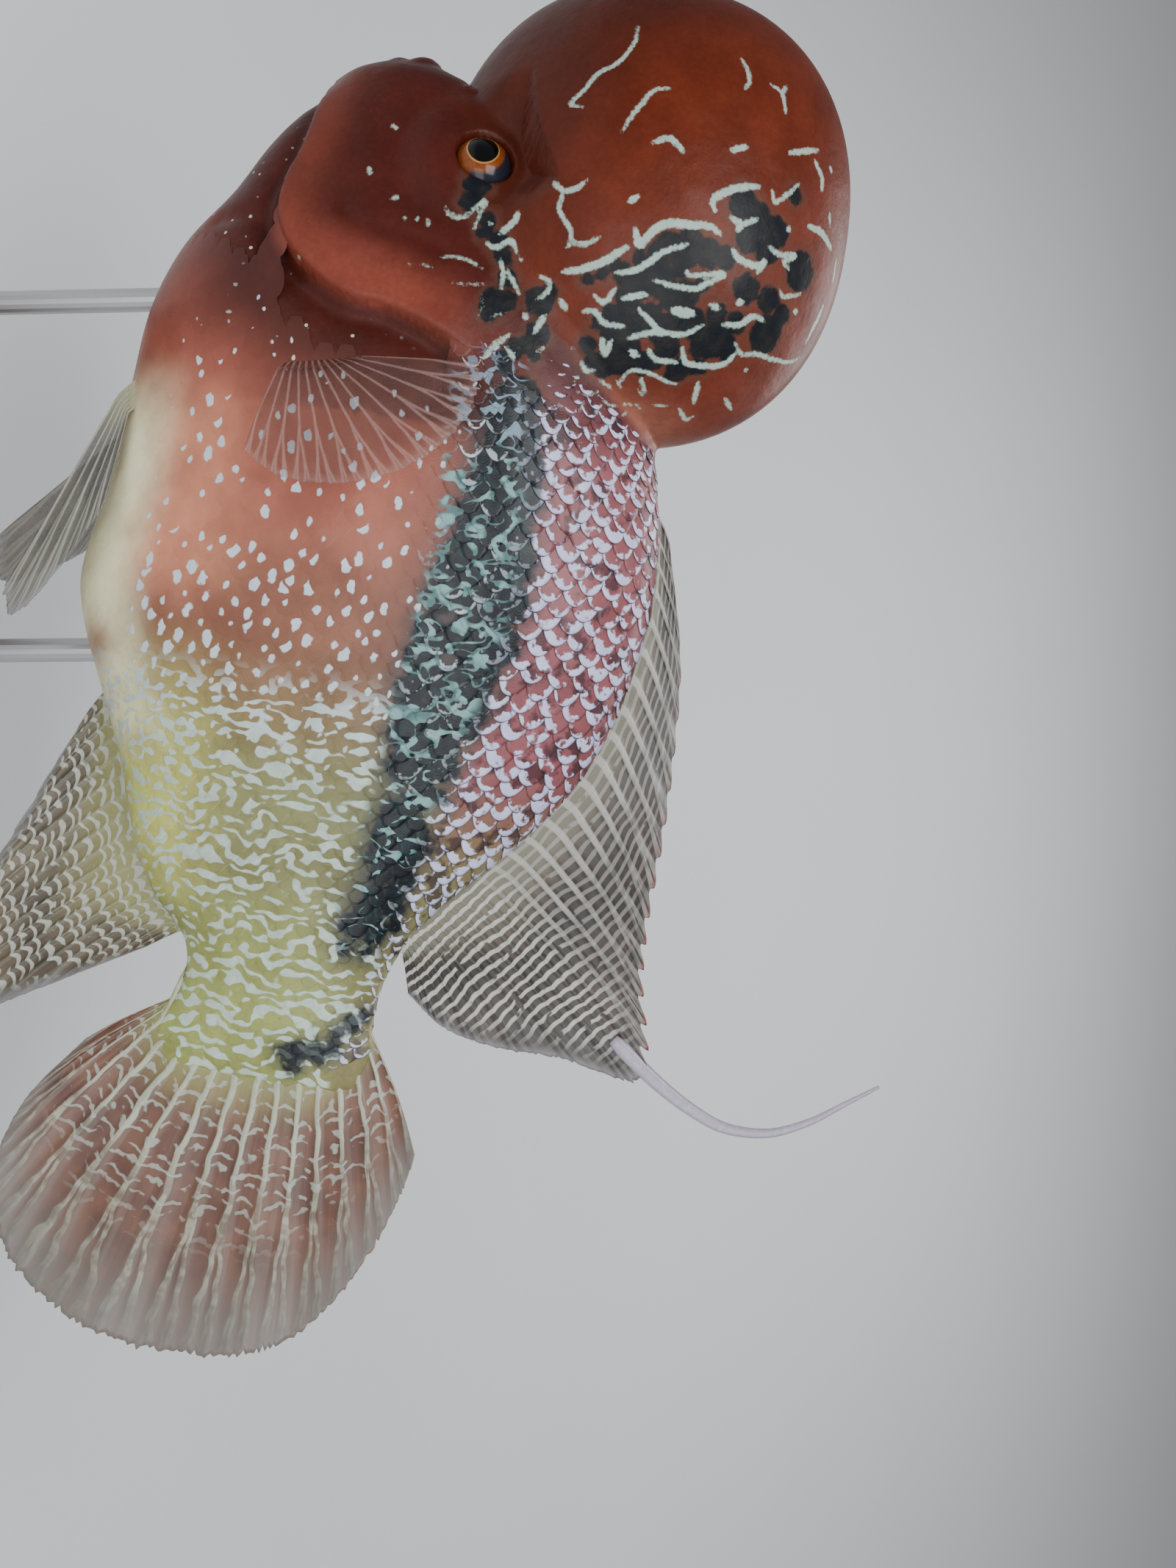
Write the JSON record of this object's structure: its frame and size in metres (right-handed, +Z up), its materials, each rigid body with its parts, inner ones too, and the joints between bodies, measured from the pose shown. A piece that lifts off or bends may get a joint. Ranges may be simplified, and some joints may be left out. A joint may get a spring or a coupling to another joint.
{
  "type": "flowerhorn cichlid",
  "caption": "Life-size flowerhorn cichlid with a large nuchal hump, swimming slightly head-up on a flat display base with short rods.",
  "frame": {"origin": "middle of the display base's underside", "axes": "+X towards the tail, -Y the fish's left side, +Z up; the fish is pitched 9 degrees head-up"},
  "size_m": [0.2944, 0.088, 0.2282],
  "materials": {
    "face_skin": "wet, smooth skin, deep brownish red, with slate and turquoise lines behind the eye",
    "hump_skin": "wet, smooth skin, orange-red, with pale turquoise strokes and rounded black cells",
    "body_skin": "wet scales, rosy above, black band with teal pearls, cream-yellow belly",
    "tail_skin": "wet scales, olive-yellow, with dense lavender-white worm lines",
    "eye": "glossy cornea over a black pupil, thin gold ring and orange iris",
    "fin_membrane": "translucent grey-olive membrane between raised rays, with wavy pale lines",
    "tail_fin_membrane": "translucent reddish-brown membrane, pale rays, clear grey margin",
    "clear_fin_membrane": "nearly clear membrane between pale rays",
    "stand_wood": "satin-varnished dark wood",
    "stand_metal": "brushed rod"
  },
  "bodies": {
    "root": {"head": "face_skin", "nuchal_hump": "hump_skin", "trunk": "body_skin", "tail_stalk": "tail_skin", "gill_cover_left": "face_skin", "gill_cover_right": "face_skin", "eye_left": "eye", "eye_right": "eye", "dorsal_fin": "fin_membrane", "anal_fin": "fin_membrane", "caudal_fin": "tail_fin_membrane", "pectoral_fin_left": "clear_fin_membrane", "pectoral_fin_right": "clear_fin_membrane", "pelvic_fin_left": "clear_fin_membrane", "pelvic_fin_right": "clear_fin_membrane", "stand_base": "stand_wood", "stand_rod_front": "stand_metal", "stand_rod_rear": "stand_metal"}
  },
  "joints": []
}
